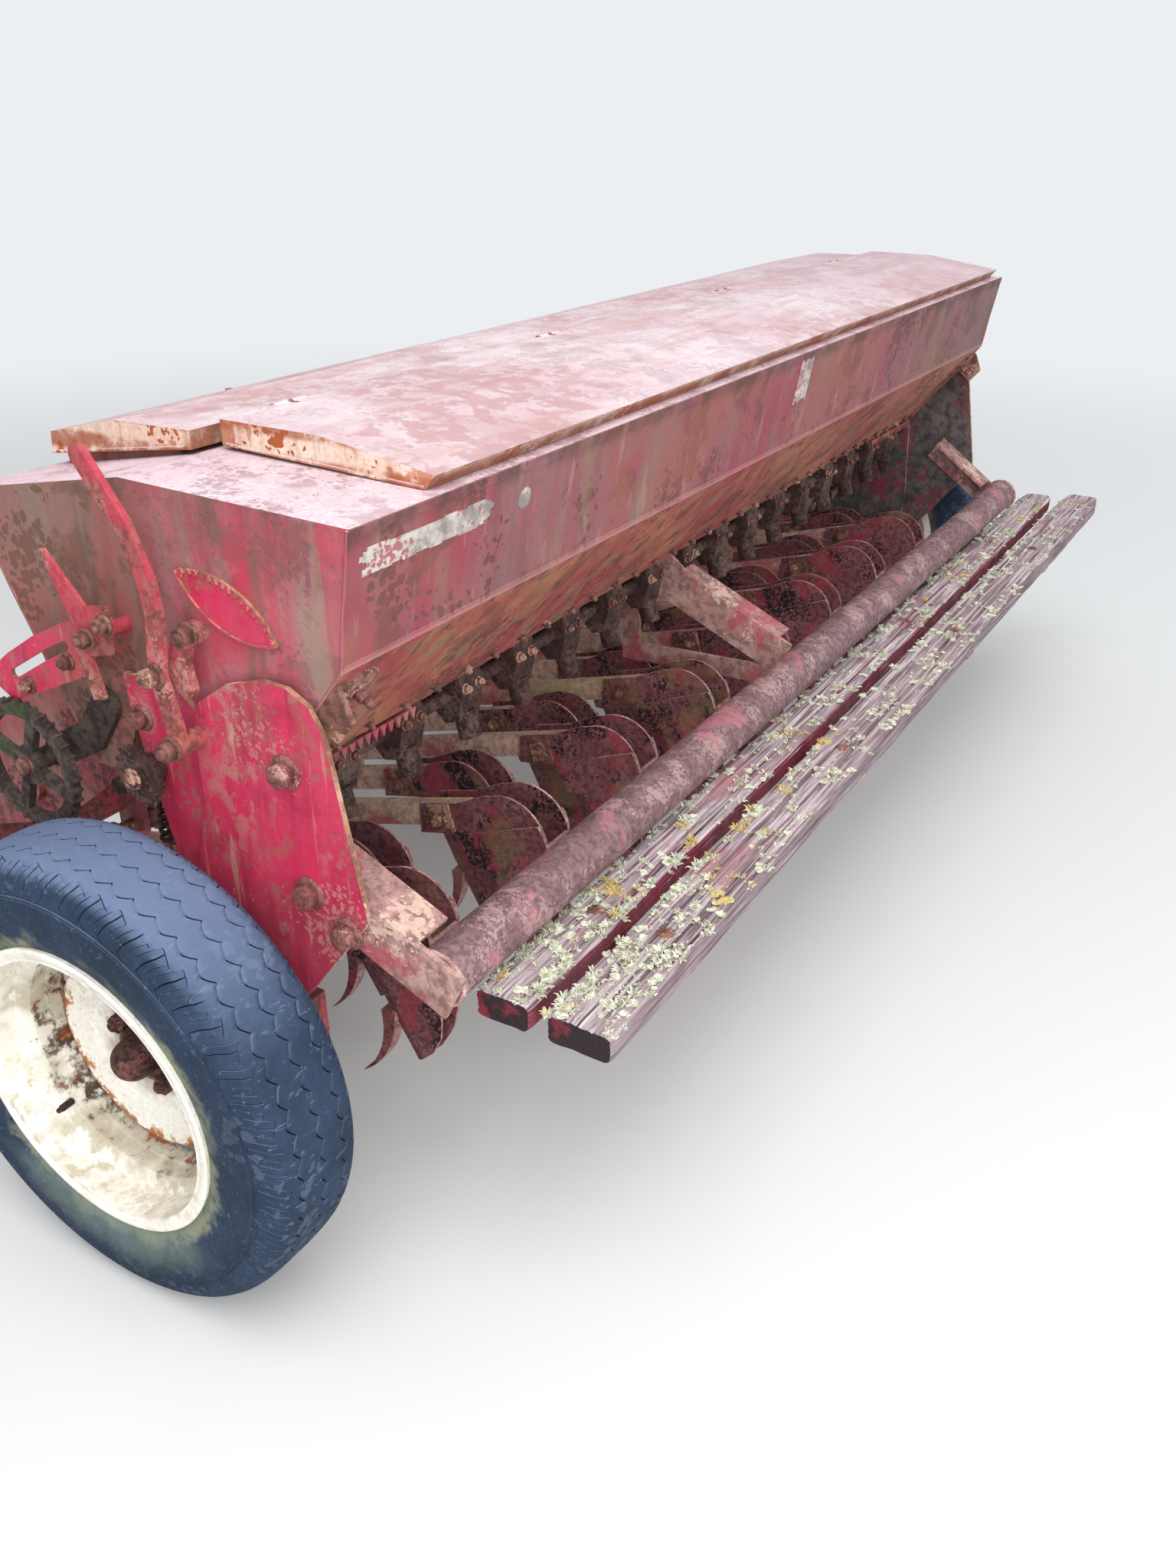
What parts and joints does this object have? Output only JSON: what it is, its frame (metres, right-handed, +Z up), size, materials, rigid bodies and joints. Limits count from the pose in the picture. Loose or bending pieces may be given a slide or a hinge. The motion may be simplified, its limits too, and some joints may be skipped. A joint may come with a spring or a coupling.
{
  "type": "seed drill",
  "caption": "Weathered red trailed seed drill with a long grain and fertiliser hopper, hoe coulters on tube arms, pneumatic tyres and a plank footboard behind.",
  "frame": {"origin": "centre of the bounding box at ground level", "axes": "+Z up, +Y forward in the direction of travel, +X along the hopper to the right-hand wheel"},
  "size_m": [3.115, 2.334, 1.161],
  "materials": {
    "red_paint": "faded red paint, grimy and rusting",
    "crimson_paint": "brighter crimson paint, worn at its edges",
    "lid_paint": "red paint bleached to a chalky pink",
    "cream_paint": "off-white paint with rust runs",
    "rusty_steel": "matt brown rust with a purple cast",
    "dark_casting": "dark rough casting",
    "bright_rod": "dull worn steel",
    "timber": "grey weathered plank with remnants of red paint",
    "tyre_rubber": "greyed rubber"
  },
  "bodies": {
    "base": {"frame": "red_paint", "end_plates": "crimson_paint", "axle_stubs": "rusty_steel", "hopper_posts": "red_paint", "drawbar": "red_paint", "hitch_clevis": "rusty_steel", "jack_tube": "rusty_steel", "grain_box": "red_paint", "fertiliser_box": "red_paint", "grain_feeds": "dark_casting", "fertiliser_feeds": "dark_casting", "feed_shafts": "rusty_steel", "funnel_brackets": "rusty_steel", "grain_lid_hinges": "rusty_steel", "fertiliser_lid_hinges": "rusty_steel", "step_pipe": "rusty_steel", "step_end_brackets": "red_paint", "step_mid_bracket": "rusty_steel", "plank_brackets": "rusty_steel", "plank_inner": "timber", "plank_outer": "timber", "pivot_bar": "rusty_steel", "hand_lever": "red_paint", "rate_quadrant": "crimson_paint", "rate_pointer": "crimson_paint", "drive_gear": "dark_casting", "end_badge": "crimson_paint"},
    "wheel_left": {"tyre_left": "tyre_rubber", "rim_left": "cream_paint", "hub_left": "dark_casting"},
    "wheel_right": {"tyre_right": "tyre_rubber", "rim_right": "cream_paint", "hub_right": "dark_casting"},
    "grain_cover": {"grain_lid": "lid_paint"},
    "fertiliser_cover": {"fertiliser_lid": "lid_paint"},
    "coulters": {"arms_rear": "rusty_steel", "arms_front": "rusty_steel", "boots_rear": "rusty_steel", "boots_front": "rusty_steel"},
    "rods": {"lift_rods": "rusty_steel", "springs": "rusty_steel"},
    "rock": {"rockshaft": "rusty_steel", "rock_fingers": "rusty_steel"},
    "barrel": {"cylinder_barrel": "red_paint"},
    "ram": {"cylinder_rod": "bright_rod"},
    "jack": {"jack_leg": "rusty_steel"}
  },
  "joints": [
    {"name": "wheel_left_spin", "type": "hinge", "parent": "base", "child": "wheel_left", "pos_m": [-1.474, -0.533, 0.345], "axis": [1, 0, 0], "continuous": true},
    {"name": "wheel_right_spin", "type": "hinge", "parent": "base", "child": "wheel_right", "pos_m": [1.419, -0.533, 0.345], "axis": [1, 0, 0], "continuous": true},
    {"name": "grain_lid_hinge", "type": "hinge", "parent": "base", "child": "grain_cover", "pos_m": [0, -0.53, 1.144], "axis": [-1, 0, 0], "range_deg": [0, 85]},
    {"name": "fertiliser_lid_hinge", "type": "hinge", "parent": "base", "child": "fertiliser_cover", "pos_m": [0, -0.511, 1.134], "axis": [1, 0, 0], "range_deg": [0, 85]},
    {"name": "coulter_lift", "type": "hinge", "parent": "base", "child": "coulters", "pos_m": [0, 0.075, 0.272], "axis": [1, 0, 0], "range_deg": [0, 10.5]},
    {"name": "rod_swing", "type": "hinge", "parent": "coulters", "child": "rods", "pos_m": [0, -0.295, 0.43161], "axis": [1, 0, 0], "range_deg": [-14, 0]},
    {"name": "rockshaft_turn", "type": "hinge", "parent": "base", "child": "rock", "pos_m": [0, -0.095, 0.56], "axis": [1, 0, 0], "range_deg": [0, 18]},
    {"name": "cylinder_swing", "type": "hinge", "parent": "base", "child": "barrel", "pos_m": [0, 0.325, 0.487], "axis": [1, 0, 0], "range_deg": [-1, 1]},
    {"name": "cylinder_stroke", "type": "slide", "parent": "barrel", "child": "ram", "axis": [0, -0.8642, 0.5031], "range_m": [0, 0.046]},
    {"name": "jack_slide", "type": "slide", "parent": "base", "child": "jack", "axis": [0, 0, 1], "range_m": [0, 0.25]}
  ],
  "couplings": [
    {"joint": "rod_swing", "follows": "coulter_lift", "ratio": -1.3096},
    {"joint": "rockshaft_turn", "follows": "coulter_lift", "ratio": 1.6604},
    {"joint": "cylinder_swing", "follows": "coulter_lift", "ratio": -0.016},
    {"joint": "cylinder_stroke", "follows": "coulter_lift", "m_per_rad": 0.2479}
  ]
}
